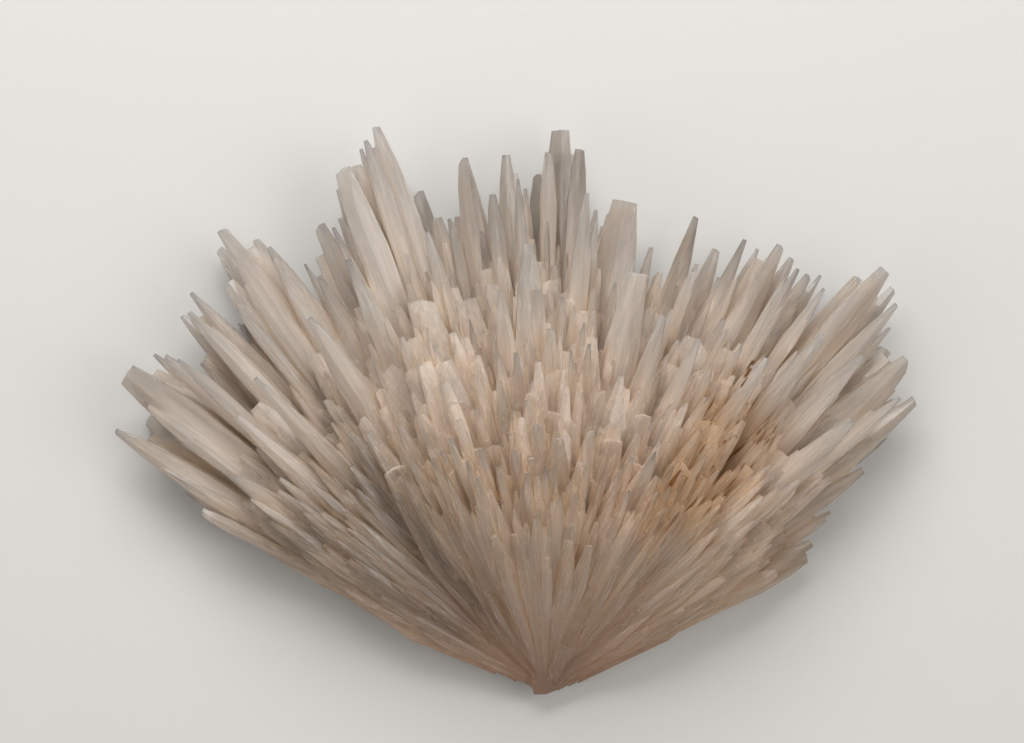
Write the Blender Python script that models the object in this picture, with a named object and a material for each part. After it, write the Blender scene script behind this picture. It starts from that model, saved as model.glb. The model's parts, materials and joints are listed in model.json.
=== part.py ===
"""A strontianite spray: spear-shaped crystals grown together, fanning out from one broken root.

The spray lies on its flat contact side, with its face up. +X is to the right and +Y is away from the
root, as the fan is seen from above. Z is up, and the origin is under the middle of its box, on the table.
"""

import math
import random

import bmesh
import bpy
from mathutils import Matrix, Vector

MM = 0.001

# The root is where all the crystals start. It is placed so that the origin is under the middle of the box.
ROOT = Vector((3.21 * MM, -29.59 * MM, 2.6 * MM))
FACES_ROUND = 6  # strontianite twins into prisms that look six-sided
SPREAD = (27.0, 155.0)  # bearings of the right and left edges of the fan, in degrees from +X

# How far the crystals reach, in mm from the root, at bearings across the fan: the body of the fan, behind
# the single crystals that stand out of it.
BODY_REACH = ((27, 26), (31, 33), (36, 43), (45, 50), (55, 48), (65, 47), (75, 45), (85, 49), (92, 50),
              (100, 49), (108, 53), (118, 48), (127, 50), (135, 51), (143, 50), (149, 44), (155, 27))
# The steepest crystals that rise towards the face, in degrees, at bearings across the fan.
STEEPEST = ((27, 20), (40, 26), (53, 30), (56, 38), (72, 42), (90, 48), (108, 46), (124, 36), (129, 24),
            (142, 24), (155, 18))
SHORTENING = 0.5  # the share of its reach that the steepest crystal lacks
SHORTENING_POWER = 2.3

# Crystals that draw the outline: bearing, lift, reach as seen from above, width, width at the tip, slant
# of the tip. Angles are in degrees and lengths in mm.
LEFT_EDGE = (
    (153.9, 5, 22.5, 2.4, 1.4, -20), (152.9, 3, 31.1, 2.4, 1.4, -25), (152.5, 6, 33.4, 2.2, 1.3, -20),
    (151.8, 4, 37.0, 2.2, 1.3, -30), (152.3, 8, 41.1, 1.6, 0.9, 10), (151.0, 3, 43.5, 2.4, 0.8, -20),
    (149.8, 6, 46.9, 1.8, 0.3, 0),
)
LEFT_RIM = (
    (148.8, 5, 53.3, 3.0, 0.7, 20), (146.0, -2, 51.4, 2.8, 1.3, 10), (142.8, 7, 55.6, 5.0, 2.9, 5),
    (139.4, 3, 54.8, 2.2, 0.4, 0), (138.6, 8, 53.6, 2.2, 0.8, 15), (137.7, 12, 52.2, 1.8, 0.4, 0),
    (136.3, 3, 50.5, 2.8, 0.8, 0),
    (134.2, 3, 55.5, 2.6, 0.5, 0), (133.2, 8, 55.0, 2.6, 0.6, 0), (131.7, 5, 56.5, 3.2, 0.5, 0),
    (129.8, 2, 50.5, 1.4, 0.4, 0), (128.7, 9, 51.8, 1.6, 0.5, 0), (127.8, 6, 54.8, 2.4, 1.4, 10),
    (126.6, 0, 58.5, 2.8, 0.9, 10), (125.1, 6, 59.7, 4.0, 1.2, -15), (122.8, 2, 57.0, 2.6, 0.8, -10),
    (121.9, 8, 55.3, 3.0, 0.5, 0), (119.5, 4, 52.0, 1.6, 0.3, 0), (118.6, 9, 50.0, 2.6, 0.6, 10),
)
CROWN = (
    (116.0, 5, 54.9, 2.8, 1.3, 20), (114.6, 9, 53.9, 1.8, 0.4, 0), (113.6, 3, 54.7, 1.8, 0.5, 0),
    (111.3, 8, 59.2, 3.8, 2.0, 12), (110.0, 4, 59.2, 2.4, 1.2, 0), (108.9, 2, 60.8, 1.6, 0.4, 0),
    (108.1, 8, 61.2, 2.2, 0.5, 0), (106.8, 5, 62.4, 3.6, 0.9, -10), (104.4, -1, 54.8, 2.6, 1.3, 18),
    (102.7, 3, 50.4, 1.4, 0.3, 0), (101.6, 8, 51.0, 1.6, 0.4, 0), (100.7, 2, 51.2, 1.6, 0.6, 0),
    (98.9, 5, 57.1, 3.0, 1.3, 28), (96.2, 9, 52.8, 1.8, 0.7, 0), (94.3, 3, 57.0, 2.6, 0.9, 0),
    (93.2, 9, 54.2, 1.4, 0.3, 0), (92.4, 4, 53.3, 1.6, 0.4, 0), (91.0, 0, 54.9, 2.2, 0.9, 20),
    (89.8, 6, 57.0, 2.0, 0.8, 0), (88.5, 3, 59.5, 3.6, 2.1, 4), (86.5, 7, 57.4, 2.2, 1.1, -8),
    (85.2, 4, 51.2, 1.6, 0.5, 0), (84.2, 10, 51.1, 1.8, 0.4, 0), (81.0, 7, 52.5, 5.6, 2.9, -2),
)
RIGHT_RIM = (
    (76.7, 5, 48.3, 2.2, 0.5, 0), (74.8, 3, 46.0, 2.4, 0.6, 0), (72.5, 4, 52.7, 3.0, 0.7, -10),
    (70.7, 8, 47.9, 1.4, 0.4, 0), (68.9, 3, 50.2, 2.4, 0.9, -15), (66.3, 6, 52.2, 2.6, 0.5, 0),
    (64.4, 2, 52.0, 2.0, 0.4, 0), (62.3, 6, 53.3, 3.2, 1.0, -20), (60.4, 3, 52.8, 2.2, 0.7, -15),
    (59.4, 9, 51.9, 1.8, 0.5, 0), (57.8, 5, 52.1, 3.0, 0.9, -20), (56.5, 1, 52.9, 1.8, 0.3, 0),
    (55.5, 7, 51.7, 1.8, 0.4, 0), (53.0, 4, 54.9, 3.4, 1.2, 10), (51.3, 7, 57.1, 3.6, 1.5, -5),
    (49.1, 2, 56.4, 2.8, 1.0, -20), (48.0, 8, 55.1, 2.6, 0.6, -20), (46.6, 4, 53.0, 2.0, 0.3, 0),
    (45.0, 0, 51.3, 2.8, 1.6, 10), (42.5, 6, 51.8, 4.8, 1.7, -32), (40.8, 2, 48.9, 1.6, 0.4, 0),
    (39.9, 9, 48.5, 1.8, 0.5, 0), (38.3, 4, 49.8, 4.0, 1.2, -15), (36.4, 2, 41.8, 1.8, 0.4, 0),
    (35.0, 6, 40.9, 2.4, 0.9, -5),
)
RIGHT_EDGE = (
    (34.8, 3, 33.0, 2.6, 1.3, -20), (33.6, 9, 30.3, 1.6, 0.9, 0), (29.2, 5, 32.2, 2.6, 1.0, 5),
    (27.2, 2, 31.2, 2.8, 1.5, -10), (27.6, 8, 27.5, 2.2, 1.4, -10), (28.0, 4, 21.0, 2.2, 1.3, -15),
)
# Crystals that end within the face, in front of the rim.
FACE = (
    (127.0, 22, 34.5, 2.8, 0.9, 10), (124.0, 27, 33.2, 2.4, 0.8, 0), (118.5, 30, 32.0, 2.2, 0.8, 0),
    (118.0, 33, 36.4, 2.2, 0.6, 0), (115.0, 36, 28.0, 2.4, 1.0, 0), (108.5, 30, 34.5, 2.2, 0.6, 0),
    (109.0, 40, 26.2, 2.0, 0.8, 0), (101.5, 38, 24.5, 2.2, 1.0, 0), (102.5, 27, 34.4, 2.2, 0.7, 0),
    (98.5, 28, 33.3, 3.2, 0.7, 0), (97.0, 36, 27.4, 1.8, 0.3, 0), (93.8, 31, 31.0, 2.0, 0.7, 0),
    (92.0, 35, 28.4, 2.4, 0.9, 0), (93.6, 40, 25.0, 2.8, 1.0, 0), (87.6, 36, 27.0, 3.0, 1.2, 10),
    (81.8, 38, 24.2, 2.4, 1.0, 5), (70.6, 34, 26.6, 3.6, 0.5, 0), (69.0, 40, 20.4, 2.0, 0.6, 0),
    (74.5, 44, 16.4, 2.2, 0.9, 0), (54.0, 30, 18.0, 2.4, 0.5, 0), (61.8, 27, 35.4, 2.8, 0.9, 20),
    (53.8, 25, 33.6, 2.4, 0.7, 0), (48.0, 22, 27.0, 2.6, 0.5, 0), (67.0, 21, 40.5, 2.4, 0.5, 0),
    (57.0, 20, 42.0, 2.4, 0.6, 0), (132.5, 18, 45.0, 2.8, 0.6, 0), (138.0, 16, 43.5, 2.8, 0.7, 0),
    (141.0, 20, 36.0, 2.6, 0.5, 0), (138.0, 23, 28.5, 2.4, 0.6, 0), (145.0, 14, 40.0, 2.6, 0.6, 0),
    (110.0, 17, 43.0, 6.4, 5.2, 6), (92.5, 21, 47.0, 4.0, 1.2, 0), (89.4, 24, 38.2, 3.0, 1.0, 0),
    (96.5, 22, 42.5, 2.6, 0.7, 0), (85.5, 14, 52.6, 2.2, 0.5, 0), (78.0, 17, 45.0, 5.6, 2.4, 0),
    (73.0, 20, 41.5, 3.4, 0.7, 0), (114.5, 16, 50.0, 3.4, 0.7, 0), (122.0, 18, 46.5, 3.2, 0.7, 0),
    (42.0, 16, 43.0, 3.0, 0.9, -10), (37.0, 14, 37.5, 2.6, 0.7, 0), (31.5, 12, 26.0, 2.6, 0.9, 0),
    (47.0, 12, 48.5, 3.2, 0.8, 0), (52.5, 14, 47.5, 2.8, 0.7, 0), (104.5, 14, 50.0, 2.8, 0.6, 0),
)

# Fused bundles of crystals that make the solid heart of the spray.
BUNDLE_LIFTS = (3.0, 17.0, 30.0)
BUNDLE_STEP = 13.0  # degrees between bearings
BUNDLE_WIDTH = 0.30  # of the bundle's reach
BUNDLE_REACH = 0.80  # of the body's reach
BUNDLE_SHOULDER = 0.6  # where a bundle is widest, as a share of its reach
BUNDLE_TIP = 0.55  # width at the end, as a share of the bundle's width
BUNDLE_ROOT = 2.4 * MM  # width at the root, which is broken to a small blunt end
BUNDLE_START = (0.5 * MM, 3.2 * MM)  # from the root to where a bundle starts: no two start together

# Crystals between the named ones, one to a cell of bearing and lift.
FILL_STEP = 7.5
FILL_LIFTS = (9.0, 16.0, 23.0, 31.0, 39.0)
FILL_WIDTH = (2.0, 3.2)

SPEAR_SLOPE = 3.0  # a spear narrows over this many times the width that it loses
ROOT_SHARE = 0.45  # width where a crystal leaves the heart, as a share of its widest
START = (0.30, 0.42)  # where a crystal starts, as a share of its reach
FLATTENING = (0.62, 0.95)  # thickness over width

CRYSTAL_WHITE = (0.66, 0.56, 0.47, 1.0)  # creamy white with a warm tint
CRYSTAL_ROUGHNESS = 0.38
SEED = 12


def clear_scene():
    for item in list(bpy.data.objects):
        bpy.data.objects.remove(item)


def between(points, x):
    """The value at x on the straight lines through points."""
    if x <= points[0][0]:
        return points[0][1]
    for (x0, y0), (x1, y1) in zip(points, points[1:]):
        if x <= x1:
            return y0 + (y1 - y0) * (x - x0) / (x1 - x0)
    return points[-1][1]


def heading(bearing, lift):
    """The unit vector at that bearing from +X and that lift over the table."""
    b, up = math.radians(bearing), math.radians(lift)
    return Vector((math.cos(b) * math.cos(up), math.sin(b) * math.cos(up), math.sin(up)))


def reach_at(bearing, lift):
    """How far a crystal of the body grows that way, in metres: less where it is steep."""
    steep = min(1.0, max(0.0, lift) / between(STEEPEST, bearing))
    return between(BODY_REACH, bearing) * MM * (1 - SHORTENING * steep**SHORTENING_POWER)


def add_ring(bm, rise, widen):
    """Extrudes the top face upwards and scales it about the axis."""
    top = max(bm.faces, key=lambda face: face.calc_center_median().z)
    grown = bmesh.ops.extrude_face_region(bm, geom=[top])["geom"]
    ring = [item for item in grown if isinstance(item, bmesh.types.BMVert)]
    bmesh.ops.delete(bm, geom=[top], context="FACES_ONLY")
    bmesh.ops.translate(bm, verts=ring, vec=(0, 0, rise))
    bmesh.ops.scale(bm, verts=ring, vec=(widen, widen, 1))
    return ring


def crystal_mesh(name, length, base, width, tip, slant, thin):
    """A six-sided spear along +Z from the origin: a widening prism, a long taper and a slanted end."""
    taper = min((width - tip) * SPEAR_SLOPE, 0.7 * length)
    bm = bmesh.new()
    bmesh.ops.create_cone(bm, cap_ends=True, segments=FACES_ROUND, radius1=base / 2, radius2=width / 2,
                          depth=length - taper)
    bmesh.ops.translate(bm, verts=bm.verts, vec=(0, 0, (length - taper) / 2))
    ring = add_ring(bm, taper, tip / width)
    lean = math.tan(math.radians(slant))
    for vert in ring:
        vert.co.z += vert.co.x * lean - abs(vert.co.x) * abs(lean)
    bmesh.ops.scale(bm, verts=bm.verts, vec=(1, thin, 1))
    bmesh.ops.recalc_face_normals(bm, faces=bm.faces)
    mesh = bpy.data.meshes.new(name)
    bm.to_mesh(mesh)
    bm.free()
    return mesh


def add_crystal(group, bearing, lift, reach, width, tip, slant, chance, begin=None, base=None):
    """Grows one crystal away from the root. reach and begin are measured from the root along its axis."""
    if begin is None:
        begin, base = reach * chance.uniform(*START), width * ROOT_SHARE
    thin, roll = chance.uniform(*FLATTENING), chance.uniform(-24, 24)
    along = heading(bearing, lift)
    side = along.cross(Vector((0, 0, 1))).normalized()
    front = side.cross(along)
    axes = Matrix((side, front, along)).transposed().to_4x4()
    mesh = crystal_mesh("crystal", reach - begin, base, width, tip, slant, thin)
    rolled = axes @ Matrix.Rotation(math.radians(roll), 4, "Z")
    mesh.transform(Matrix.Translation(ROOT + along * begin) @ rolled)
    crystal = bpy.data.objects.new("crystal", mesh)
    crystal.hide_render = True
    crystal.display_type = "WIRE"
    group.objects.link(crystal)
    return crystal


def add_named(group, rows, chance):
    for bearing, lift, seen, width, tip, slant in rows:
        reach = seen * MM / math.cos(math.radians(lift))
        add_crystal(group, bearing, lift, reach, width * MM, tip * MM, slant, chance)


def add_bundles(group, chance):
    """The heart: stout bundles that overlap each other from the root outwards."""
    for row, lift in enumerate(BUNDLE_LIFTS):
        bearing = SPREAD[0] + BUNDLE_STEP * (0.5 if row % 2 == 0 else 1.0)
        while bearing < SPREAD[1] - 3:
            limit = between(STEEPEST, bearing)
            if lift < limit:
                reach = reach_at(bearing, lift) * BUNDLE_REACH
                room = math.tan(math.radians(min(bearing - SPREAD[0], SPREAD[1] - bearing) + 1.0))
                width = reach * min(BUNDLE_WIDTH, 2 * BUNDLE_SHOULDER * room)
                add_crystal(group, bearing, lift, reach, width, width * BUNDLE_TIP, 0, chance,
                            begin=chance.uniform(*BUNDLE_START), base=BUNDLE_ROOT)
            bearing += BUNDLE_STEP


def add_fill(group, chance):
    """Smaller crystals between the named ones, all over the face."""
    for lift in FILL_LIFTS:
        bearing = SPREAD[0] + chance.uniform(2, 6)
        while bearing < SPREAD[1] - 2:
            turned = bearing + chance.uniform(-1.5, 1.5)
            raised = lift + chance.uniform(-2.5, 2.5)
            if raised < between(STEEPEST, turned):
                width = chance.uniform(*FILL_WIDTH) * MM
                reach = reach_at(turned, raised) * chance.uniform(0.9, 1.04)
                add_crystal(group, turned, raised, reach, width, width * chance.uniform(0.15, 0.4), 0, chance)
            bearing += FILL_STEP


def crystal_material():
    material = bpy.data.materials.new("milky_strontianite")
    material.use_nodes = True
    shader = material.node_tree.nodes["Principled BSDF"]
    shader.inputs["Base Color"].default_value = CRYSTAL_WHITE
    shader.inputs["Roughness"].default_value = CRYSTAL_ROUGHNESS
    shader.inputs["Metallic"].default_value = 0.0
    return material


def add_table_cutter(cutters):
    """Everything under the table's surface, which the flat contact side is cut back to."""
    side, depth = 0.2, 0.05
    bpy.ops.mesh.primitive_cube_add(size=1, location=(0, 0, -depth / 2), scale=(side, side, depth))
    cutter = bpy.context.object
    cutter.name = "under_the_table"
    for collection in cutter.users_collection:
        collection.objects.unlink(cutter)
    cutters.objects.link(cutter)
    cutter.hide_render = True
    cutter.display_type = "WIRE"
    return cutter


def main():
    clear_scene()
    chance = random.Random(SEED)
    scene = bpy.context.scene
    parts = bpy.data.collections.new("strontianite_specimen")
    crystals = bpy.data.collections.new("crystals")
    cutters = bpy.data.collections.new("cutters")
    for collection in (parts, crystals, cutters):
        scene.collection.children.link(collection)

    add_bundles(crystals, chance)
    for rows in (LEFT_EDGE, LEFT_RIM, CROWN, RIGHT_RIM, RIGHT_EDGE, FACE):
        add_named(crystals, rows, chance)
    add_fill(crystals, chance)

    first = crystals.objects[0]
    crystals.objects.unlink(first)
    parts.objects.link(first)
    spray = first
    spray.name = "strontianite_spray"
    spray.hide_render = False
    spray.display_type = "TEXTURED"
    spray.data.materials.append(crystal_material())

    union = spray.modifiers.new("grown together", "BOOLEAN")
    union.operation = "UNION"
    union.operand_type = "COLLECTION"
    union.collection = crystals
    union.solver = "EXACT"
    cut = spray.modifiers.new("flat contact side", "BOOLEAN")
    cut.operation = "DIFFERENCE"
    cut.object = add_table_cutter(cutters)
    cut.solver = "EXACT"


main()
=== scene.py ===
import json
import math
import random

import bmesh
import bpy
from mathutils import Matrix, Vector

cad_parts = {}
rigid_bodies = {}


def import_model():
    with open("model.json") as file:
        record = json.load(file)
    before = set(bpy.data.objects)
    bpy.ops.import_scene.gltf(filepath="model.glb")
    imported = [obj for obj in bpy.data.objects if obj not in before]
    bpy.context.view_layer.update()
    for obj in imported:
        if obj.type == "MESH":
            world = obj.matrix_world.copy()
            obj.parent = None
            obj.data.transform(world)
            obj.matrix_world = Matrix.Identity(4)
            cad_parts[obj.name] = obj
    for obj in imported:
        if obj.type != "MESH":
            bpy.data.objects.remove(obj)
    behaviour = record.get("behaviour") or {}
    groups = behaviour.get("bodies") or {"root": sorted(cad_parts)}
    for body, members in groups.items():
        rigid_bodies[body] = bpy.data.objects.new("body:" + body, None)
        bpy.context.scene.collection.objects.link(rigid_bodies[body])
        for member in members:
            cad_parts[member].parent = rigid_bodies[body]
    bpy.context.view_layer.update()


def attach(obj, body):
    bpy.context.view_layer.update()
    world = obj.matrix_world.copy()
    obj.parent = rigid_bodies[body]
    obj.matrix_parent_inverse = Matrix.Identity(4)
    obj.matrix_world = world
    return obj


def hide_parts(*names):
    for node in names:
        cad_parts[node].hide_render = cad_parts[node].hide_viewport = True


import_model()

mm = 0.001
chance = random.Random(41)
root = Vector((3.21, -29.59, 2.6)) * mm  # every crystal points away from here


# small helpers

def between(points, x):
    # value at x on the straight lines through the points
    if x <= points[0][0]:
        return points[0][1]
    for (x0, y0), (x1, y1) in zip(points, points[1:]):
        if x <= x1:
            return y0 + (y1 - y0) * (x - x0) / (x1 - x0)
    return points[-1][1]


def heading(bearing, lift):
    b, up = math.radians(bearing), math.radians(lift)
    return Vector((math.cos(b) * math.cos(up), math.sin(b) * math.cos(up), math.sin(up)))


def linear(hexColour):
    # sRGB hex to the linear values that a shader works in
    channels = [int(hexColour[i:i + 2], 16) / 255 for i in (1, 3, 5)]
    return tuple(c / 12.92 if c <= 0.04045 else ((c + 0.055) / 1.055) ** 2.4 for c in channels) + (1.0,)


# the shape of the fan, as in the solid model

spray = {
    "bodyReach": ((27, 26), (31, 33), (36, 43), (45, 50), (55, 48), (65, 47), (75, 45), (85, 49), (92, 50),
                  (100, 49), (108, 53), (118, 48), (127, 50), (135, 51), (143, 50), (149, 44), (155, 27)),
    "steepest": ((27, 20), (40, 26), (53, 30), (56, 38), (72, 42), (90, 48), (108, 46), (124, 36), (129, 24),
                 (142, 24), (155, 18)),
    "shortening": 0.5,       # share of its reach that the steepest crystal lacks
    "shorteningPower": 2.3,
    "hollow": 0.10,          # share that the crystals halfway up to the steepest lack as well
    "spread": (27.0, 155.0),  # bearings of the fan's right and left edges
}


def reachAt(bearing, lift):
    steep = min(1.0, max(0.0, lift) / between(spray["steepest"], bearing))
    full = between(spray["bodyReach"], bearing) * mm * (1 - spray["hollow"] * math.sin(math.pi * steep))
    return full * (1 - spray["shortening"] * steep ** spray["shorteningPower"])


# rows: bearing, lift, reach as seen from above in mm, width, tip width, then the tip's slant and clearness
rimCrystals = (
    (153.9, 5, 22.5, 2.4, 1.4, -20, 0.2), (152.9, 3, 31.1, 2.4, 1.4, -25, 0.2),
    (152.5, 6, 33.4, 2.2, 1.3, -20, 0.3), (151.8, 4, 37.0, 2.2, 1.3, -30, 0.4),
    (152.3, 8, 41.1, 1.6, 0.9, 10, 0.4), (151.0, 3, 43.5, 2.4, 0.8, -20, 0.5),
    (149.8, 6, 46.9, 1.8, 0.3, 0, 0.6), (148.8, 5, 53.3, 3.0, 0.7, 20, 0.5),
    (146.0, -2, 51.4, 2.8, 1.3, 10, 0.4), (142.8, 7, 55.6, 5.0, 2.9, 5, 0.7),
    (139.4, 3, 54.8, 2.2, 0.4, 0, 0.4), (138.6, 8, 53.6, 2.2, 0.8, 15, 0.5),
    (137.7, 12, 52.2, 1.8, 0.4, 0, 0.4), (136.3, 3, 50.5, 2.8, 0.8, 0, 0.4),
    (134.2, 3, 55.5, 2.6, 0.5, 0, 0.5), (133.2, 8, 55.0, 2.6, 0.6, 0, 0.5),
    (131.7, 5, 56.5, 3.2, 0.5, 0, 0.5), (129.8, 2, 50.5, 1.4, 0.4, 0, 0.4),
    (128.7, 9, 51.8, 1.6, 0.5, 0, 0.4), (127.8, 6, 54.8, 2.4, 1.4, 10, 0.4),
    (126.6, 0, 58.5, 2.8, 0.9, 10, 0.4), (125.1, 6, 59.7, 4.0, 1.2, -15, 0.5),
    (122.8, 2, 57.0, 2.6, 0.8, -10, 0.4), (121.9, 8, 55.3, 3.0, 0.5, 0, 0.4),
    (119.5, 4, 52.0, 1.6, 0.3, 0, 0.5), (118.6, 9, 50.0, 2.6, 0.6, 10, 0.6),
    (116.0, 5, 54.9, 2.8, 1.3, 20, 0.5), (114.6, 9, 53.9, 1.8, 0.4, 0, 0.5),
    (113.6, 3, 54.7, 1.8, 0.5, 0, 0.4), (111.3, 8, 59.2, 3.8, 2.0, 12, 0.3),
    (110.0, 4, 59.2, 2.4, 1.2, 0, 0.4), (108.9, 2, 60.8, 1.6, 0.4, 0, 0.5),
    (108.1, 8, 61.2, 2.2, 0.5, 0, 0.5), (106.8, 5, 62.4, 3.6, 0.9, -10, 0.4),
    (104.4, -1, 54.8, 2.6, 1.3, 18, 0.9), (102.7, 3, 50.4, 1.4, 0.3, 0, 0.5),
    (101.6, 8, 51.0, 1.6, 0.4, 0, 0.5), (100.7, 2, 51.2, 1.6, 0.6, 0, 0.5),
    (98.9, 5, 57.1, 3.0, 1.3, 28, 0.9), (96.2, 9, 52.8, 1.8, 0.7, 0, 0.6),
    (94.3, 3, 57.0, 2.6, 0.9, 0, 0.8), (93.2, 9, 54.2, 1.4, 0.3, 0, 0.5),
    (92.4, 4, 53.3, 1.6, 0.4, 0, 0.5), (91.0, 0, 54.9, 2.2, 0.9, 20, 0.9),
    (89.8, 6, 57.0, 2.0, 0.8, 0, 0.6), (88.5, 3, 59.5, 3.6, 2.1, 4, 1.0),
    (86.5, 7, 57.4, 2.2, 1.1, -8, 0.9), (85.2, 4, 51.2, 1.6, 0.5, 0, 0.5),
    (84.2, 10, 51.1, 1.8, 0.4, 0, 0.5), (81.0, 7, 52.5, 5.6, 2.9, -2, 0.7),
    (76.7, 5, 48.3, 2.2, 0.5, 0, 0.5), (74.8, 3, 46.0, 2.4, 0.6, 0, 0.4),
    (72.5, 4, 52.7, 3.0, 0.7, -10, 1.0), (70.7, 8, 47.9, 1.4, 0.4, 0, 0.4),
    (68.9, 3, 50.2, 2.4, 0.9, -15, 0.6), (66.3, 6, 52.2, 2.6, 0.5, 0, 0.7),
    (64.4, 2, 52.0, 2.0, 0.4, 0, 0.6), (62.3, 6, 53.3, 3.2, 1.0, -20, 0.7),
    (60.4, 3, 52.8, 2.2, 0.7, -15, 0.5), (59.4, 9, 51.9, 1.8, 0.5, 0, 0.5),
    (57.8, 5, 52.1, 3.0, 0.9, -20, 0.5), (56.5, 1, 52.9, 1.8, 0.3, 0, 0.4),
    (55.5, 7, 51.7, 1.8, 0.4, 0, 0.4), (53.0, 4, 54.9, 3.4, 1.2, 10, 0.4),
    (51.3, 7, 57.1, 3.6, 1.5, -5, 0.5), (49.1, 2, 56.4, 2.8, 1.0, -20, 0.6),
    (48.0, 8, 55.1, 2.6, 0.6, -20, 0.5), (46.6, 4, 53.0, 2.0, 0.3, 0, 0.4),
    (45.0, 0, 51.3, 2.8, 1.6, 10, 0.4), (42.5, 6, 51.8, 4.8, 1.7, -32, 0.5),
    (40.8, 2, 48.9, 1.6, 0.4, 0, 0.4), (39.9, 9, 48.5, 1.8, 0.5, 0, 0.4),
    (38.3, 4, 49.8, 4.0, 1.2, -15, 0.5), (36.4, 2, 41.8, 1.8, 0.4, 0, 0.4),
    (35.0, 6, 40.9, 2.4, 0.9, -5, 0.4), (34.8, 3, 33.0, 2.6, 1.3, -20, 0.3),
    (33.6, 9, 30.3, 1.6, 0.9, 0, 0.3), (29.2, 5, 32.2, 2.6, 1.0, 5, 0.4),
    (27.2, 2, 31.2, 2.8, 1.5, -10, 0.5), (27.6, 8, 27.5, 2.2, 1.4, -10, 0.2),
    (28.0, 4, 21.0, 2.2, 1.3, -15, 0.2),
)
faceCrystals = (  # these end within the face, in front of the rim
    (127.0, 22, 34.5, 2.8, 0.9, 10, 0.2), (124.0, 27, 33.2, 2.4, 0.8, 0, 0.2),
    (118.5, 30, 32.0, 2.2, 0.8, 0, 0.2), (118.0, 33, 36.4, 2.2, 0.6, 0, 0.2),
    (115.0, 36, 28.0, 2.4, 1.0, 0, 0.2), (108.5, 30, 34.5, 2.2, 0.6, 0, 0.2),
    (109.0, 40, 26.2, 2.0, 0.8, 0, 0.2), (101.5, 38, 24.5, 2.2, 1.0, 0, 0.2),
    (102.5, 27, 34.4, 2.2, 0.7, 0, 0.2), (98.5, 28, 33.3, 3.2, 0.7, 0, 0.3),
    (97.0, 36, 27.4, 1.8, 0.3, 0, 0.2), (93.8, 31, 31.0, 2.0, 0.7, 0, 0.2),
    (92.0, 35, 28.4, 2.4, 0.9, 0, 0.2), (93.6, 40, 25.0, 2.8, 1.0, 0, 0.2),
    (87.6, 36, 27.0, 3.0, 1.2, 10, 0.3), (81.8, 38, 24.2, 2.4, 1.0, 5, 0.2),
    (70.6, 34, 26.6, 3.6, 0.5, 0, 0.2), (69.0, 40, 20.4, 2.0, 0.6, 0, 0.2),
    (74.5, 44, 16.4, 2.2, 0.9, 0, 0.2), (54.0, 30, 18.0, 2.4, 0.5, 0, 0.2),
    (61.8, 27, 35.4, 2.8, 0.9, 20, 0.2), (53.8, 25, 33.6, 2.4, 0.7, 0, 0.2),
    (48.0, 22, 27.0, 2.6, 0.5, 0, 0.2), (67.0, 21, 40.5, 2.4, 0.5, 0, 0.2),
    (57.0, 20, 42.0, 2.4, 0.6, 0, 0.2), (132.5, 18, 45.0, 2.8, 0.6, 0, 0.2),
    (138.0, 16, 43.5, 2.8, 0.7, 0, 0.2), (141.0, 20, 36.0, 2.6, 0.5, 0, 0.2),
    (138.0, 23, 28.5, 2.4, 0.6, 0, 0.2), (145.0, 14, 40.0, 2.6, 0.6, 0, 0.3),
    (110.0, 19, 37.0, 3.8, 1.6, 6, 0.0), (92.5, 21, 47.0, 4.0, 1.2, 0, 0.4),
    (89.4, 24, 38.2, 3.0, 1.0, 0, 0.2), (96.5, 22, 42.5, 2.6, 0.7, 0, 0.3),
    (85.5, 14, 52.6, 2.2, 0.5, 0, 0.5), (78.0, 17, 45.0, 5.6, 2.4, 0, 0.3),
    (73.0, 20, 41.5, 3.4, 0.7, 0, 0.3), (114.5, 16, 50.0, 3.4, 0.7, 0, 0.3),
    (122.0, 18, 46.5, 3.2, 0.7, 0, 0.3), (42.0, 16, 43.0, 3.0, 0.9, -10, 0.3),
    (37.0, 14, 37.5, 2.6, 0.7, 0, 0.3), (31.5, 12, 26.0, 2.6, 0.9, 0, 0.2),
    (47.0, 12, 48.5, 3.2, 0.8, 0, 0.3), (52.5, 14, 47.5, 2.8, 0.7, 0, 0.3),
    (104.5, 14, 50.0, 2.8, 0.6, 0, 0.3),
)

crystals = bpy.data.collections.new("crystals")
bpy.context.scene.collection.children.link(crystals)

crystal = {
    "sides": 6,
    "cornerJitter": 0.10,   # how uneven the six corners are
    "flattening": (0.45, 0.85),  # thickness as a share of width
    "taperLength": (3.4, 6.0),  # a spear narrows over this many times the width that it loses
    "startShare": (0.07, 0.26),  # where it leaves its neighbours, as a share of its reach
    "startWidth": (0.06, 1.1),  # width there, as a share of the full one: at the root, and gained outwards
    "roll": 26,
    "longestTaper": 0.6,    # share of the length
    "bend": (0.6, 0.48),    # the taper steepens this far along it, after this share of the narrowing
    "chisel": (0.3, 0.8),   # how far the end closes towards an edge
    "startSunkWidth": 0.5,  # width at the start of a crystal that lies on the face
    "shortestStart": 0.12,  # such a crystal starts no nearer the root than this share of its reach
}


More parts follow.
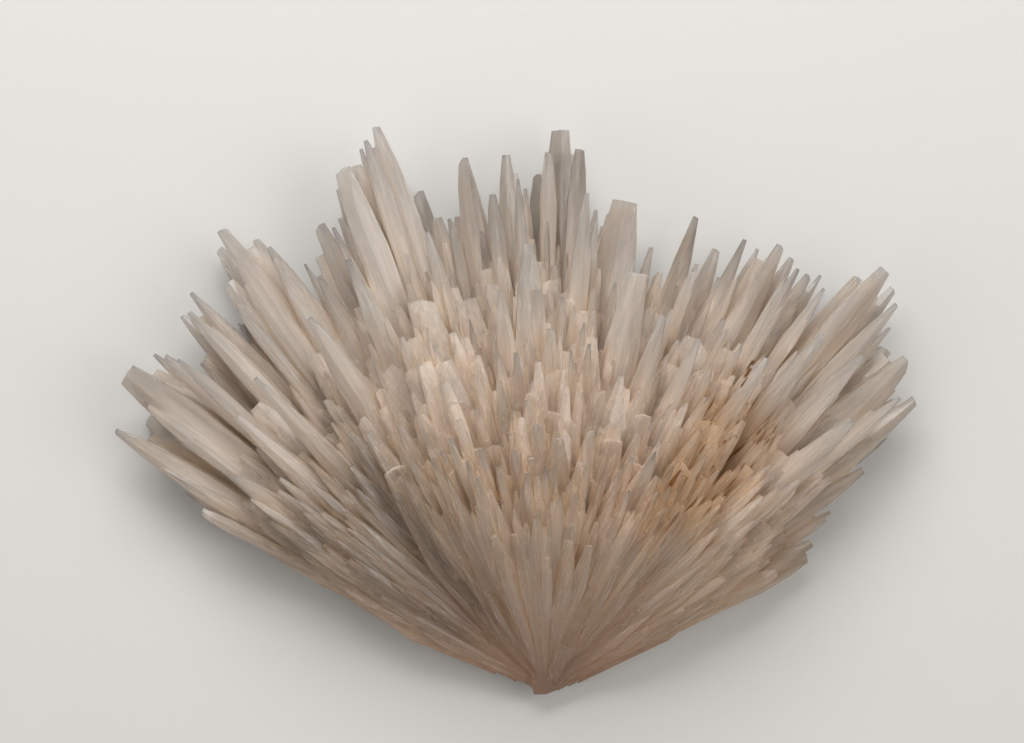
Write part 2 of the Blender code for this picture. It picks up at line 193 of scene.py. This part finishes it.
def crystalMesh(length, base, width, tip, slant, thin, sides, tone, clear):
    # a spear along +Z: a wedge that widens from the root, then a taper that steepens, then a slanted end
    taper = min((width - tip) * chance.uniform(*crystal["taperLength"]), crystal["longestTaper"] * length)
    shoulder = length - taper
    bendAt, bendBy = crystal["bend"]
    rings = [(0.0, base), (shoulder, width), (shoulder + bendAt * taper, width - bendBy * (width - tip)),
             (length, tip)]
    jitter = [1 + chance.uniform(-1, 1) * crystal["cornerJitter"] for _ in range(sides)]
    bm = bmesh.new()
    bmesh.ops.create_circle(bm, cap_ends=True, segments=sides, radius=0.5)
    for vert in bm.verts:
        turn = math.atan2(vert.co.y, vert.co.x) % (2 * math.pi)
        vert.co *= jitter[round(turn / (2 * math.pi) * sides) % sides]
        vert.co = Vector((vert.co.x * base, vert.co.y * base * thin, 0))
    top = bm.faces[:][0]
    growth = {vert: 0.0 for vert in bm.verts}
    lean, chisel = math.tan(math.radians(slant)), chance.uniform(*crystal["chisel"])
    for number, (height, wide) in enumerate(rings[1:]):
        below = top
        grown = bmesh.ops.extrude_face_region(bm, geom=[below])["geom"]
        top = next(item for item in grown if isinstance(item, bmesh.types.BMFace))
        if number > 0:
            bmesh.ops.delete(bm, geom=[below], context="FACES_ONLY")
        ratio = wide / rings[number][1]
        atTip = number == len(rings) - 2
        for vert in top.verts:
            vert.co = Vector((vert.co.x * ratio, vert.co.y * ratio * (chisel if atTip else 1), height))
            if atTip:
                vert.co.z += vert.co.x * lean - abs(vert.co.x * lean)
            growth[vert] = height / length
    bmesh.ops.recalc_face_normals(bm, faces=bm.faces)
    layer = bm.loops.layers.float_color.new("growth")
    for face in bm.faces:
        for loop in face.loops:
            loop[layer] = (growth.get(loop.vert, 0.0), tone, clear, 1.0)
    mesh = bpy.data.meshes.new("crystal")
    bm.to_mesh(mesh)
    bm.free()
    return mesh


def spear(bearing, start, end, base, width, tip, slant, clear, sides=None, aside=(0, 0), thin=None,
          roll=None):
    # one crystal between two points that are given from the root
    along = (end - start).normalized()
    side = along.cross(Vector((0, 0, 1))).normalized()
    front = along.cross(side)
    thin = thin or chance.uniform(*crystal["flattening"])
    mesh = crystalMesh((end - start).length, base, width, tip, slant, thin, sides or crystal["sides"],
                       chance.random(), clear)
    axes = Matrix((side, front, along)).transposed().to_4x4()
    turn = Matrix.Rotation(math.radians(chance.uniform(-1, 1) * (roll or crystal["roll"])), 4, "Z")
    mesh.transform(Matrix.Translation(root + start + side * aside[0] + front * aside[1]) @ axes @ turn)
    piece = bpy.data.objects.new("crystal", mesh)
    piece["bearing"] = bearing
    crystals.objects.link(piece)


def grow(bearing, lift, reach, width, tip, slant, clear=0.2, begin=None, base=None, sides=None, aside=(0, 0)):
    # one crystal pointing away from the root; reach and begin are measured from there
    if begin is None:
        share = chance.uniform(*crystal["startShare"])
        least, more = crystal["startWidth"]
        begin, base = reach * share, width * (least + more * share)
    along = heading(bearing, lift)
    spear(bearing, along * begin, along * reach, base, width, tip, slant, clear, sides, aside)


def faceHeight(bearing, seen):
    # how high above the root the face of the fan is, this far out as seen from above
    lift = between(spray["steepest"], bearing)
    while lift > 0.5 and reachAt(bearing, lift) * math.cos(math.radians(lift)) < seen:
        lift -= 0.5
    return seen * math.tan(math.radians(lift))


def layOnFace(bearing, seen, length, width, tip, slant, clear, proud, sunk, thin=None, roll=None):
    # one crystal that lies along the face, with its tip just proud of it and its start sunk below
    inner = max(crystal["shortestStart"] * seen, seen - length)
    tipHeight = faceHeight(bearing, seen) + proud
    startHeight = min(faceHeight(bearing, inner) - sunk, tipHeight)  # none of them points down
    start = heading(bearing, 0) * inner + Vector((0, 0, startHeight))
    end = heading(bearing, 0) * seen + Vector((0, 0, tipHeight))
    base = width * crystal["startSunkWidth"]
    spear(bearing, start, end, base, width, tip, slant, clear, thin=thin, roll=roll)


# the heart, as stout bundles
bundle = {"lifts": (2.0, 13.0, 24.0, 34.0), "step": 10.0, "width": 0.22, "reach": 0.72, "tip": 0.5,
          "base": 1.8 * mm, "begin": (0.5 * mm, 3.0 * mm), "shoulder": 0.6, "cover": 7.0}
low, high = spray["spread"]
for row, lift in enumerate(bundle["lifts"]):
    bearing = low + bundle["step"] * (0.5 if row % 2 == 0 else 1.0)
    while bearing < high - 3:
        if lift + bundle["cover"] < between(spray["steepest"], bearing):
            reach = reachAt(bearing, lift) * bundle["reach"]
            room = math.tan(math.radians(min(bearing - low, high - bearing)))
            width = reach * min(bundle["width"], 2 * bundle["shoulder"] * room)
            grow(bearing, lift, reach, width, width * bundle["tip"], 0, 0.0,
                 begin=chance.uniform(*bundle["begin"]), base=bundle["base"])
        bearing += bundle["step"]

# broad spears behind the tallest tips: bearing, lift, reach as seen, width, tip width
broadSpears = (
    (107.6, 4, 60.4, 8.0, 1.2), (111.8, 5, 57.5, 5.5, 2.2), (123.8, 4, 56.5, 6.5, 1.8),
    (98.6, 3, 55.0, 5.0, 1.2), (93.6, 3, 55.0, 4.5, 1.0), (88.0, 2, 57.0, 6.0, 2.2),
    (81.2, 4, 51.0, 7.0, 3.0), (141.5, 4, 53.5, 7.5, 2.6), (133.0, 4, 54.0, 7.0, 1.2),
    (147.5, 3, 50.0, 5.5, 1.4), (72.6, 3, 50.5, 5.5, 0.9), (63.5, 4, 51.0, 6.5, 1.6),
    (57.5, 4, 50.5, 6.0, 1.4), (50.6, 4, 54.5, 7.5, 1.8), (44.0, 4, 50.5, 7.0, 2.2),
    (38.5, 4, 47.5, 6.0, 1.6), (117.5, 4, 52.0, 5.5, 1.2), (103.0, 3, 51.5, 6.0, 1.2),
    (151.3, 3, 38.0, 3.6, 1.6), (128.5, 3, 52.0, 5.0, 1.2),
)
for bearing, lift, seen, width, tip in broadSpears:
    grow(bearing, lift, seen * mm / math.cos(math.radians(lift)), width * mm, tip * mm, 0, 0.3)

# the placed rim crystals, each with thinner ones grown along its sides
sheaf = {"followers": (1, 3), "widthShare": (0.28, 0.55), "reachShare": (0.80, 0.98), "tip": (0.12, 0.4),
         "slant": (-25, 25), "clearness": 0.7, "aside": 0.46, "asideShares": (0.8, 0.7)}
for bearing, lift, seen, width, tip, slant, clear in rimCrystals:
    reach = seen * mm / math.cos(math.radians(lift))
    grow(bearing, lift, reach, width * mm, tip * mm, slant, clear)
    for follower in range(chance.randint(*sheaf["followers"])):
        thinner = width * mm * chance.uniform(*sheaf["widthShare"])
        turn = chance.uniform(0, 2 * math.pi)
        off = width * mm * sheaf["aside"]
        across, above = sheaf["asideShares"]
        grow(bearing, lift, reach * chance.uniform(*sheaf["reachShare"]), thinner,
             thinner * chance.uniform(*sheaf["tip"]), chance.uniform(*sheaf["slant"]),
             clear * sheaf["clearness"], aside=(math.cos(turn) * off * across, math.sin(turn) * off * above))

# crystals that lie along the face like shingles, with blunt ends that barely stand out of it
shingle = {"step": 3.1, "from": 13.0, "to": 40.0, "across": 2.9, "length": (15, 30), "width": (1.0, 3.2),
           "usualWidth": 1.6, "tip": (0.14, 0.45), "slant": (-15, 15), "proud": (-0.2, 0.6),
           "sunk": (0.7, 1.8), "margin": 2.5, "shift": (2, 1.7), "rimShare": 0.86, "clear": 0.1}
placedRow = {"rimFrom": 38.0, "length": 24, "proud": 0.8, "sunk": 0.9}  # the ones placed from the photograph
for bearing, lift, seen, width, tip, slant, clear in faceCrystals:
    if seen > placedRow["rimFrom"]:
        grow(bearing, lift, seen * mm / math.cos(math.radians(lift)), width * mm, tip * mm, slant, clear)
    else:
        layOnFace(bearing, seen * mm, placedRow["length"] * mm, width * mm, tip * mm, slant, clear,
                  placedRow["proud"] * mm, placedRow["sunk"] * mm)
seen = shingle["from"]
while seen < shingle["to"]:
    bearing = low + shingle["margin"]
    while bearing < high - shingle["margin"]:
        sideways, outwards = shingle["shift"]
        turned = bearing + chance.uniform(-sideways, sideways)
        outer = (seen + chance.uniform(-outwards, outwards)) * mm
        width = chance.triangular(*shingle["width"], shingle["usualWidth"]) * mm
        if outer < shingle["rimShare"] * reachAt(turned, 0):
            layOnFace(turned, outer, chance.uniform(*shingle["length"]) * mm, width,
                      width * chance.uniform(*shingle["tip"]), chance.uniform(*shingle["slant"]),
                      shingle["clear"], chance.uniform(*shingle["proud"]) * mm,
                      chance.uniform(*shingle["sunk"]) * mm)
        bearing += math.degrees(shingle["across"] / seen)
    seen += shingle["step"]

# broad thin plates just under the face close the gaps between the spears
plate = {"seen": (28, 33, 37.5, 41.5, 45), "margin": 6.0, "step": 4.6, "width": (4.5, 7.0), "tip": (0.2, 0.5),
         "length": 24, "thin": 0.3, "roll": 9, "slant": (-25, 25), "sunk": (0.4, 1.2), "startSunk": 1.5,
         "shift": (1.5, 2), "rimShare": 0.97, "clear": 0.15}
for seen in plate["seen"]:
    bearing = low + plate["margin"]
    while bearing < high - plate["margin"]:
        sideways, outwards = plate["shift"]
        turned = bearing + chance.uniform(-sideways, sideways)
        outer = (seen + chance.uniform(-outwards, outwards)) * mm
        width = chance.uniform(*plate["width"]) * mm
        if outer < plate["rimShare"] * reachAt(turned, 0):
            layOnFace(turned, outer, plate["length"] * mm, width, width * chance.uniform(*plate["tip"]),
                      chance.uniform(*plate["slant"]), plate["clear"], -chance.uniform(*plate["sunk"]) * mm,
                      plate["startSunk"] * mm, plate["thin"], plate["roll"])
        bearing += plate["step"]

# the broken end that everything grew from
stub = {"from": Vector((0, 6, 2)) * mm, "to": Vector((-0.1, -0.4, 0.2)) * mm, "bearing": 90,
        "width": 5.0 * mm, "shoulder": 0.9, "tip": 3.0 * mm, "slant": 8}
spear(stub["bearing"], stub["from"], stub["to"], stub["width"], stub["shoulder"] * stub["width"], stub["tip"],
      stub["slant"], 0.0)

# crystals all through the fan: stouter ones make the milky mass, finer ones fill between them and at the rim
mass = {"step": 4.6, "perCell": 2, "width": (1.9, 3.3), "tip": (0.12, 0.3), "reach": (0.84, 0.97),
        "depth": (3, 90)}
fine = {"step": 3.4, "perCell": 2, "width": (0.8, 2.0), "tip": (0.12, 0.4), "reach": (0.86, 1.0),
        "depth": (10, 90)}
rimFill = {"step": 2.6, "perCell": 1, "width": (0.9, 2.2), "tip": (0.12, 0.4), "reach": (0.92, 1.05),
           "depth": (20, 46)}
fill = {"lowest": -4.0, "highest": 50, "margins": (1.5, 1.0), "shift": (-0.6, 0.6), "usualWidth": 1.3,
        "edgeRadius": 35,  # mm from the root where a crystal's half width has to clear the fan's edge
        "slanted": 0.35,  # share with a slanted tip
        "slant": (-20, 20), "clear": (0.05, 0.35)}


def fillFan(kind):
    lift = fill["lowest"]
    while lift < fill["highest"]:
        bearing = low + fill["margins"][0]
        while bearing < high - fill["margins"][1]:
            for number in range(kind["perCell"]):
                turned = bearing + chance.uniform(*fill["shift"]) * kind["step"]
                raised = lift + chance.uniform(*fill["shift"]) * kind["step"]
                width = chance.triangular(*kind["width"], kind["width"][0] * fill["usualWidth"])
                deep = between(spray["steepest"], turned) - raised
                edge = min(turned - low, high - turned) - math.degrees(width / 2 / fill["edgeRadius"])
                if kind["depth"][0] < deep < kind["depth"][1] and edge > 0:
                    reach = reachAt(turned, raised) * chance.uniform(*kind["reach"])
                    tip = width * mm * chance.uniform(*kind["tip"])
                    slant = chance.uniform(*fill["slant"]) if chance.random() < fill["slanted"] else 0
                    grow(turned, raised, reach, width * mm, tip, slant, chance.uniform(*fill["clear"]))
            bearing += kind["step"] / math.cos(math.radians(max(0.0, lift)))
        lift += kind["step"]


fillFan(mass)
fillFan(fine)
fillFan(rimFill)

# needles that start at the very root and cover the outside of the fan: its face, both edges and the underside
needle = {"step": 1.5, "width": (0.8, 1.8), "tip": (0.12, 0.4), "begin": (1.0, 3.0), "base": 0.3, "sides": 5,
          "clear": (0.05, 0.3), "margin": 1, "reach": (0.9, 1.16), "underReach": (0.6, 0.95),
          "edgeReach": (0.55, 1.0), "depths": (0.5, 2.5, 5.0), "edgeDepths": (0.6, 2.4),
          "under": (-5, -1), "edgeFrom": -4.0}


def growNeedle(bearing, lift, share):
    width = chance.uniform(*needle["width"]) * mm
    grow(bearing, lift, reachAt(bearing, lift) * share, width, width * chance.uniform(*needle["tip"]), 0,
         chance.uniform(*needle["clear"]), begin=chance.uniform(*needle["begin"]) * mm,
         base=needle["base"] * mm, sides=needle["sides"])


bearing = low + needle["margin"]
while bearing < high - needle["margin"]:
    limit = between(spray["steepest"], bearing)
    for deep in needle["depths"]:
        growNeedle(bearing + chance.uniform(-0.7, 0.7), limit - deep - chance.uniform(0, 2),
                   chance.uniform(*needle["reach"]))
    growNeedle(bearing, chance.uniform(*needle["under"]), chance.uniform(*needle["underReach"]))
    bearing += needle["step"]
for edge, inwards in ((low, 1), (high, -1)):
    lift = needle["edgeFrom"]
    while lift < between(spray["steepest"], edge):
        for deep in needle["edgeDepths"]:
            growNeedle(edge + inwards * (deep + chance.uniform(0, 1.2)), lift + chance.uniform(-1, 1),
                       chance.uniform(*needle["edgeReach"]))
        lift += needle["step"]

# grown together into one body, one sector of the fan after the other, and cut flat where it rests
def joined(pieces, operation="UNION"):
    # the mesh that is left when the first piece takes in, or loses, the others
    first, others = pieces[0], bpy.data.collections.new("others")
    bpy.context.scene.collection.children.link(others)
    for piece in pieces[1:]:
        others.objects.link(piece)
    step = first.modifiers.new("grown together", "BOOLEAN")
    step.operation, step.operand_type, step.collection = operation, "COLLECTION", others
    step.solver = "MANIFOLD"  # it needs closed crystals whose faces point outwards
    mesh = bpy.data.meshes.new_from_object(first.evaluated_get(bpy.context.evaluated_depsgraph_get()))
    for piece in pieces:
        bpy.data.objects.remove(piece)
    bpy.data.collections.remove(others)
    return mesh


def placed(name, mesh):
    made = bpy.data.objects.new(name, mesh)
    bpy.context.scene.collection.objects.link(made)
    return made


sectors = {}
for piece in crystals.objects:
    sectors.setdefault(int(piece["bearing"] // 22), []).append(piece)
fused = [placed("sector", joined(pieces)) for pieces in sectors.values()]
print("sectors fused", len(fused))
table = bmesh.new()
bmesh.ops.create_cube(table, size=0.2)
bmesh.ops.translate(table, verts=table.verts, vec=(0, 0, -0.1))
tableMesh = bpy.data.meshes.new("under_the_table")
table.to_mesh(tableMesh)
table.free()
whole = placed("whole", joined(fused))
grownMesh = joined([whole, placed("under_the_table", tableMesh)], "DIFFERENCE")
grownMesh.name = "strontianite"
strontianite = placed("strontianite", grownMesh)
print("body", len(grownMesh.vertices), "points", len(grownMesh.polygons), "faces")


# milky strontianite, natural crystal faces: cloudy and warm inside, clearer at the tips, with growth lines
def addNode(tree, kind, inputs=None, **settings):
    made = tree.nodes.new(kind)
    for name, value in settings.items():
        setattr(made, name, value)
    for socket, value in (inputs or {}).items():
        if isinstance(value, bpy.types.NodeSocket):
            tree.links.new(value, made.inputs[socket])
        else:
            made.inputs[socket].default_value = value
    return made


look = {
    "coloursAndShade": ((0.0, "#8A6852"), (0.16, "#A1836C"), (0.42, "#B6A18E"), (0.75, "#CBBEB1"), (1.0, "#C6BDB5")),
    "colourReach": 60 * mm,
    "scratch": "#EBE3DB", "speckBearing": (57.7, 57.9, 58.2, 58.4), "speckAway": (40.4, 40.8, 41.6, 42.0),
    "rust": "#7C5022", "tan": "#AC8658", "rustBearing": (43, 50, 60, 65), "rustAway": (22, 28, 36, 42),
    "shadeAndGreyBearing": (116, 130, 146, 158), "shadeAndGreyAway": (6, 14, 30, 42), "deepestShadeAndGrey": 0.38,
    "roughness": (0.12, 0.34), "ior": 1.6, "scatter": 0.85, "scatterRadius": (3.2 * mm, 2.6 * mm, 2.0 * mm),
    "fibres": (95, 110, 3.0), "bands": (16, 35, 2.0),  # per radian across, per metre along, and detail
    "scratches": (230, 160, 1.0), "rustStreaks": (60, 45, 2.0),
    "fibreContrast": 0.55, "bandContrast": 0.45, "toneContrast": 0.14, "scratchStrength": 0.35,
    "tanStrength": 0.5, "scratchEdge": (0.60, 0.72), "rustEdge": (0.57, 0.68), "roughEdge": (0.3, 0.7),
    "bumpStrength": 0.6,
    "bumpDepth": 0.08 * mm, "clearFrom": 0.72, "clearMost": 0.75,
}
milky = bpy.data.materials.new("milky_strontianite_natural_faces")
milky.use_nodes = True
tree = milky.node_tree
shader = tree.nodes["Principled BSDF"]


def maths(operation, a, b=0.0):
    return addNode(tree, "ShaderNodeMath", {0: a, 1: b}, operation=operation).outputs[0]


def ramp(value, fromLow, fromHigh, toLow=0.0, toHigh=1.0):
    return addNode(tree, "ShaderNodeMapRange", {"Value": value, "From Min": fromLow, "From Max": fromHigh,
                                                "To Min": toLow, "To Max": toHigh},
                   interpolation_type="SMOOTHSTEP").outputs[0]


def window(value, edges):
    # 1 between the middle two edges, falling to 0 at the outer two
    return maths("MULTIPLY", ramp(value, edges[0], edges[1]), ramp(value, edges[3], edges[2]))


def fibres(across, along, detail):
    # noise drawn out along the crystals: it changes fast with direction from the root, slowly with distance
    turned = addNode(tree, "ShaderNodeVectorMath", {0: towards, "Scale": across}, operation="SCALE")
    moved = addNode(tree, "ShaderNodeVectorMath", {0: fromRoot, "Scale": along}, operation="SCALE")
    spot = addNode(tree, "ShaderNodeVectorMath", {0: turned.outputs[0], 1: moved.outputs[0]}, operation="ADD")
    noise = addNode(tree, "ShaderNodeTexNoise", {"Vector": spot.outputs[0], "Scale": 1.0, "Detail": detail})
    return noise.outputs["Fac"]


place = addNode(tree, "ShaderNodeTexCoord").outputs["Object"]
fromRoot = addNode(tree, "ShaderNodeVectorMath", {0: place, 1: root}, operation="SUBTRACT").outputs[0]
away = addNode(tree, "ShaderNodeVectorMath", {0: fromRoot}, operation="LENGTH").outputs["Value"]
towards = addNode(tree, "ShaderNodeVectorMath", {0: fromRoot}, operation="NORMALIZE").outputs[0]
growth = addNode(tree, "ShaderNodeAttribute", attribute_name="growth", attribute_type="GEOMETRY")
# red is how far along its crystal a point is, green the crystal's tone, blue how clear its tip is
grownTo = addNode(tree, "ShaderNodeSeparateColor", {"Color": growth.outputs["Color"]}).outputs

fineLines, broadLines = fibres(*look["fibres"]), fibres(*look["bands"])
# base colour darker and browner towards the root: the brown is the crystals' own warmer colour there, the
# darkening is partly painted shade of the light falling off towards the bottom of the fan
spread = maths("DIVIDE", away, look["colourReach"])
base = addNode(tree, "ShaderNodeValToRGB", {"Fac": spread})
base.color_ramp.elements.remove(base.color_ramp.elements[1])
for number, (position, colour) in enumerate(look["coloursAndShade"]):
    element = base.color_ramp.elements[0] if number == 0 else base.color_ramp.elements.new(position)
    element.position, element.color = position, linear(colour)
lighter = maths("ADD", maths("MULTIPLY", maths("SUBTRACT", fineLines, 0.5), look["fibreContrast"]),
                maths("ADD", maths("MULTIPLY", maths("SUBTRACT", broadLines, 0.5), look["bandContrast"]),
                      maths("MULTIPLY", maths("SUBTRACT", grownTo["Green"], 0.5), look["toneContrast"])))
parts = addNode(tree, "ShaderNodeSeparateXYZ", {"Vector": fromRoot}).outputs
bearingHere = maths("MULTIPLY", maths("ARCTAN2", parts["Y"], parts["X"]), 180 / math.pi)
awayHere = maths("DIVIDE", away, mm)
# painted shade: the low left of the fan (bearings 116 to 158, 6 to 42 mm out) is darkened in the base colour,
# partly for its greyer crystals and partly for the shade where the face recedes there
shadeAndGreyPlace = maths("MULTIPLY", window(bearingHere, look["shadeAndGreyBearing"]), window(awayHere, look["shadeAndGreyAway"]))
value = maths("SUBTRACT", maths("ADD", lighter, 1.0), maths("MULTIPLY", shadeAndGreyPlace, look["deepestShadeAndGrey"]))
varied = addNode(tree, "ShaderNodeHueSaturation", {"Value": value, "Color": base.outputs[0]})

# fine pale scratches along the crystals
scratchLines = ramp(fibres(*look["scratches"]), *look["scratchEdge"])
scratchAmount = maths("MULTIPLY", scratchLines, look["scratchStrength"])
scratched = addNode(tree, "ShaderNodeMix", {"Factor": scratchAmount, 6: varied.outputs[0],
                                            7: linear(look["scratch"])}, data_type="RGBA")

# rust that has run along the crystals on the right, and one dark speck beyond it
rustPlace = maths("MULTIPLY", window(bearingHere, look["rustBearing"]), window(awayHere, look["rustAway"]))
tinted = addNode(tree, "ShaderNodeMix", {"Factor": maths("MULTIPLY", rustPlace, look["tanStrength"]),
                                         6: scratched.outputs[2], 7: linear(look["tan"])}, data_type="RGBA")
rustLines = ramp(fibres(*look["rustStreaks"]), *look["rustEdge"])
speck = maths("MULTIPLY", window(bearingHere, look["speckBearing"]), window(awayHere, look["speckAway"]))
rusty = maths("MAXIMUM", maths("MULTIPLY", rustPlace, rustLines), speck)
stained = addNode(tree, "ShaderNodeMix", {"Factor": rusty, 6: tinted.outputs[2], 7: linear(look["rust"])},
                  data_type="RGBA")
tree.links.new(stained.outputs[2], shader.inputs["Base Color"])

# the tips are clear where the cloudy inside has not reached
clear = maths("MULTIPLY", maths("MULTIPLY", ramp(grownTo["Red"], look["clearFrom"], 1.0), grownTo["Blue"]),
              look["clearMost"])
tree.links.new(clear, shader.inputs["Transmission Weight"])
tree.links.new(ramp(broadLines, *look["roughEdge"], *look["roughness"]), shader.inputs["Roughness"])
bump = addNode(tree, "ShaderNodeBump", {"Height": fineLines, "Distance": look["bumpDepth"],
                                        "Strength": look["bumpStrength"]})
tree.links.new(bump.outputs[0], shader.inputs["Normal"])
shader.subsurface_method = "BURLEY"
shader.inputs["IOR"].default_value = look["ior"]
shader.inputs["Subsurface Weight"].default_value = look["scatter"]
shader.inputs["Subsurface Radius"].default_value = look["scatterRadius"]
shader.inputs["Subsurface Scale"].default_value = 1.0
grownMesh.materials.clear()
grownMesh.materials.append(milky)

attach(strontianite, "root")
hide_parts("strontianite_spray")

# a plain pale floor, soft studio light and a camera that looks straight down
floorMesh = bpy.data.meshes.new("floor")
flat = bmesh.new()
bmesh.ops.create_grid(flat, x_segments=1, y_segments=1, size=2.0)
flat.to_mesh(floorMesh)
flat.free()
floor = bpy.data.objects.new("floor", floorMesh)
bpy.context.scene.collection.objects.link(floor)
card = bpy.data.materials.new("matt_pale_card")
card.use_nodes = True
card.node_tree.nodes["Principled BSDF"].inputs["Base Color"].default_value = linear("#E9E7E3")
card.node_tree.nodes["Principled BSDF"].inputs["Roughness"].default_value = 0.9
floorMesh.materials.append(card)

studio = {"above": 0.6, "lens": 197, "centre": (-0.43 * mm, 4.28 * mm),
          "lamps": (("key", (-0.03, 0.24, 0.26), 0.24, 0.85), ("fill", (0.5, 0.0, 0.6), 0.6, 1.8),
                    ("low", (-0.5, -0.2, 0.45), 0.5, 0.7))}
for name, position, size, watts in studio["lamps"]:
    lamp = bpy.data.objects.new(name, bpy.data.lights.new(name, "AREA"))
    lamp.data.size, lamp.data.energy = size, watts
    lamp.location = position
    lamp.rotation_euler = (-Vector(position)).to_track_quat("-Z", "Y").to_euler()
    bpy.context.scene.collection.objects.link(lamp)
world = bpy.data.worlds.new("studio")
world.use_nodes = True
world.node_tree.nodes["Background"].inputs["Color"].default_value = (1.0, 0.97, 0.93, 1.0)
world.node_tree.nodes["Background"].inputs["Strength"].default_value = 0.2
bpy.context.scene.world = world
camera = bpy.data.objects.new("camera", bpy.data.cameras.new("camera"))
camera.location = (*studio["centre"], studio["above"])
camera.data.lens = studio["lens"]
camera.data.clip_start, camera.data.clip_end = 0.01, 10
bpy.context.scene.collection.objects.link(camera)
bpy.context.scene.camera = camera
bpy.context.scene.view_settings.view_transform = "Standard"
bpy.context.scene.cycles.max_bounces = 7
bpy.context.scene.cycles.diffuse_bounces = 2
bpy.context.scene.cycles.glossy_bounces = 2
bpy.context.scene.cycles.transmission_bounces = 6
bpy.context.scene.cycles.adaptive_threshold = 0.08
print("studio ready")
